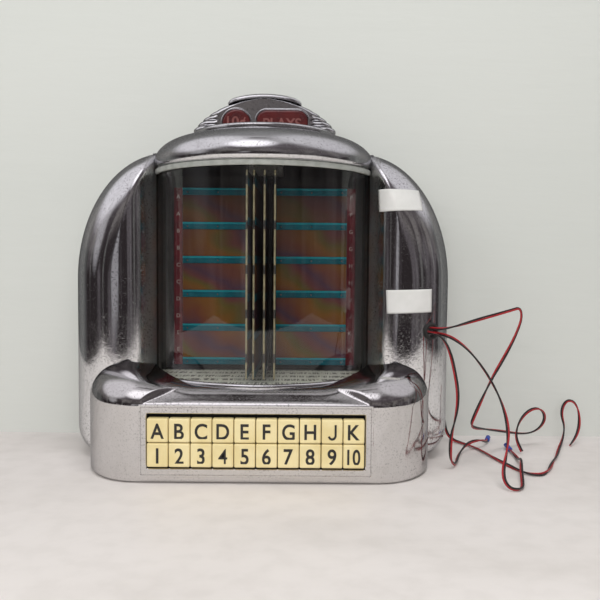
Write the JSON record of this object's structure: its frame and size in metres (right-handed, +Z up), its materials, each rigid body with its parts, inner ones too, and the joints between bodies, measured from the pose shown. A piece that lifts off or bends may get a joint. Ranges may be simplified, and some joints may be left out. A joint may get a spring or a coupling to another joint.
{
  "type": "jukebox wall box selector",
  "caption": "Wall mounted selector box: chrome casting with a curved window over title pages, a row of letter keys over number keys, and a coin head.",
  "frame": {"origin": "on the surface that it stands on, under the middle of the body without its free leads", "axes": "+X to the viewer's right, +Y towards the wall, +Z up"},
  "size_m": [0.4337, 0.1582, 0.2977],
  "materials": {
    "chrome": "polished plated die casting",
    "plated_steel": "zinc plated",
    "red_lens": "clear red moulding",
    "glass": "clear",
    "strip": "matte",
    "cream_card": "printed card",
    "dark_panel": "satin",
    "leaf_edge": "cream enamel",
    "teal_bar": "gloss enamel",
    "title_card": "dark card under a clear cover",
    "index_red": "printed card",
    "ivory_key": "moulded, slightly yellowed",
    "dark_plastic": "moulded",
    "board": "phenolic board",
    "dark_metal": "satin",
    "lamp": "clear bulb",
    "rubber": "moulded",
    "lead_red": "red and black insulation",
    "crimp_blue": "moulded sleeve"
  },
  "bodies": {
    "housing": {"front_housing": "chrome", "hood": "chrome", "coin_head": "chrome", "coin_entry_cap": "chrome", "back_plate": "plated_steel", "housing_screws": "plated_steel", "round_red_lens": "red_lens", "long_red_lens": "red_lens", "window_glass": "glass", "window_trims": "strip", "floor_card": "cream_card", "page_frame": "dark_panel", "leaf_hinges": "plated_steel", "title_panels": "dark_panel", "title_bars": "teal_bar", "title_cards": "title_card", "index_strips": "index_red", "key_bezel": "chrome", "key_tray": "dark_plastic", "key_switch_board": "board", "coin_chute": "plated_steel", "coin_switch": "dark_plastic", "drive_motor": "dark_metal", "stepping_bank": "board", "latch_coil": "dark_metal", "terminal_strip": "dark_plastic", "lamps": "lamp", "cable_grommet": "rubber", "side_grommet": "rubber", "main_lead": "lead_red", "kinked_lead": "lead_red", "inner_lead": "lead_red", "back_lead": "lead_red", "main_crimp": "crimp_blue", "inner_crimp": "crimp_blue"},
    "page_dial": {"page_dial": "chrome"},
    "leaf_1": {"leaf_1": "leaf_edge"},
    "leaf_2": {"leaf_2": "leaf_edge"},
    "leaf_3": {"leaf_3": "leaf_edge"},
    "leaf_4": {"leaf_4": "leaf_edge"},
    "key_a": {"key_a": "ivory_key"},
    "key_b": {"key_b": "ivory_key"},
    "key_c": {"key_c": "ivory_key"},
    "key_d": {"key_d": "ivory_key"},
    "key_e": {"key_e": "ivory_key"},
    "key_f": {"key_f": "ivory_key"},
    "key_g": {"key_g": "ivory_key"},
    "key_h": {"key_h": "ivory_key"},
    "key_j": {"key_j": "ivory_key"},
    "key_k": {"key_k": "ivory_key"},
    "key_1": {"key_1": "ivory_key"},
    "key_2": {"key_2": "ivory_key"},
    "key_3": {"key_3": "ivory_key"},
    "key_4": {"key_4": "ivory_key"},
    "key_5": {"key_5": "ivory_key"},
    "key_6": {"key_6": "ivory_key"},
    "key_7": {"key_7": "ivory_key"},
    "key_8": {"key_8": "ivory_key"},
    "key_9": {"key_9": "ivory_key"},
    "key_10": {"key_10": "ivory_key"}
  },
  "joints": [
    {"name": "page_dial_turn", "type": "hinge", "parent": "housing", "child": "page_dial", "pos_m": [0, 0.035, 0.262], "axis": [0, 0, 1], "range_deg": [-48, 48]},
    {"name": "leaf_1_swing", "type": "hinge", "parent": "housing", "child": "leaf_1", "pos_m": [-0.0075, 0.035, 0.071], "axis": [0, 0, 1], "range_deg": [-61, 61]},
    {"name": "leaf_2_swing", "type": "hinge", "parent": "housing", "child": "leaf_2", "pos_m": [-0.0025, 0.035, 0.071], "axis": [0, 0, 1], "range_deg": [-61, 61]},
    {"name": "leaf_3_swing", "type": "hinge", "parent": "housing", "child": "leaf_3", "pos_m": [0.0025, 0.035, 0.071], "axis": [0, 0, 1], "range_deg": [-61, 61]},
    {"name": "leaf_4_swing", "type": "hinge", "parent": "housing", "child": "leaf_4", "pos_m": [0.0075, 0.035, 0.071], "axis": [0, 0, 1], "range_deg": [-61, 61]},
    {"name": "key_a_press", "type": "slide", "parent": "housing", "child": "key_a", "axis": [0, 1, 0], "range_m": [0, 0.004], "stiffness_N_per_m": 250, "springref_m": -0.002},
    {"name": "key_b_press", "type": "slide", "parent": "housing", "child": "key_b", "axis": [0, 1, 0], "range_m": [0, 0.004], "stiffness_N_per_m": 250, "springref_m": -0.002},
    {"name": "key_c_press", "type": "slide", "parent": "housing", "child": "key_c", "axis": [0, 1, 0], "range_m": [0, 0.004], "stiffness_N_per_m": 250, "springref_m": -0.002},
    {"name": "key_d_press", "type": "slide", "parent": "housing", "child": "key_d", "axis": [0, 1, 0], "range_m": [0, 0.004], "stiffness_N_per_m": 250, "springref_m": -0.002},
    {"name": "key_e_press", "type": "slide", "parent": "housing", "child": "key_e", "axis": [0, 1, 0], "range_m": [0, 0.004], "stiffness_N_per_m": 250, "springref_m": -0.002},
    {"name": "key_f_press", "type": "slide", "parent": "housing", "child": "key_f", "axis": [0, 1, 0], "range_m": [0, 0.004], "stiffness_N_per_m": 250, "springref_m": -0.002},
    {"name": "key_g_press", "type": "slide", "parent": "housing", "child": "key_g", "axis": [0, 1, 0], "range_m": [0, 0.004], "stiffness_N_per_m": 250, "springref_m": -0.002},
    {"name": "key_h_press", "type": "slide", "parent": "housing", "child": "key_h", "axis": [0, 1, 0], "range_m": [0, 0.004], "stiffness_N_per_m": 250, "springref_m": -0.002},
    {"name": "key_j_press", "type": "slide", "parent": "housing", "child": "key_j", "axis": [0, 1, 0], "range_m": [0, 0.004], "stiffness_N_per_m": 250, "springref_m": -0.002},
    {"name": "key_k_press", "type": "slide", "parent": "housing", "child": "key_k", "axis": [0, 1, 0], "range_m": [0, 0.004], "stiffness_N_per_m": 250, "springref_m": -0.002},
    {"name": "key_1_press", "type": "slide", "parent": "housing", "child": "key_1", "axis": [0, 1, 0], "range_m": [0, 0.004], "stiffness_N_per_m": 250, "springref_m": -0.002},
    {"name": "key_2_press", "type": "slide", "parent": "housing", "child": "key_2", "axis": [0, 1, 0], "range_m": [0, 0.004], "stiffness_N_per_m": 250, "springref_m": -0.002},
    {"name": "key_3_press", "type": "slide", "parent": "housing", "child": "key_3", "axis": [0, 1, 0], "range_m": [0, 0.004], "stiffness_N_per_m": 250, "springref_m": -0.002},
    {"name": "key_4_press", "type": "slide", "parent": "housing", "child": "key_4", "axis": [0, 1, 0], "range_m": [0, 0.004], "stiffness_N_per_m": 250, "springref_m": -0.002},
    {"name": "key_5_press", "type": "slide", "parent": "housing", "child": "key_5", "axis": [0, 1, 0], "range_m": [0, 0.004], "stiffness_N_per_m": 250, "springref_m": -0.002},
    {"name": "key_6_press", "type": "slide", "parent": "housing", "child": "key_6", "axis": [0, 1, 0], "range_m": [0, 0.004], "stiffness_N_per_m": 250, "springref_m": -0.002},
    {"name": "key_7_press", "type": "slide", "parent": "housing", "child": "key_7", "axis": [0, 1, 0], "range_m": [0, 0.004], "stiffness_N_per_m": 250, "springref_m": -0.002},
    {"name": "key_8_press", "type": "slide", "parent": "housing", "child": "key_8", "axis": [0, 1, 0], "range_m": [0, 0.004], "stiffness_N_per_m": 250, "springref_m": -0.002},
    {"name": "key_9_press", "type": "slide", "parent": "housing", "child": "key_9", "axis": [0, 1, 0], "range_m": [0, 0.004], "stiffness_N_per_m": 250, "springref_m": -0.002},
    {"name": "key_10_press", "type": "slide", "parent": "housing", "child": "key_10", "axis": [0, 1, 0], "range_m": [0, 0.004], "stiffness_N_per_m": 250, "springref_m": -0.002}
  ],
  "couplings": [
    {"joint": "leaf_1_swing", "follows": "page_dial_turn", "ratio": 1.25},
    {"joint": "leaf_2_swing", "follows": "page_dial_turn", "ratio": 1.25},
    {"joint": "leaf_3_swing", "follows": "page_dial_turn", "ratio": 1.25},
    {"joint": "leaf_4_swing", "follows": "page_dial_turn", "ratio": 1.25}
  ]
}
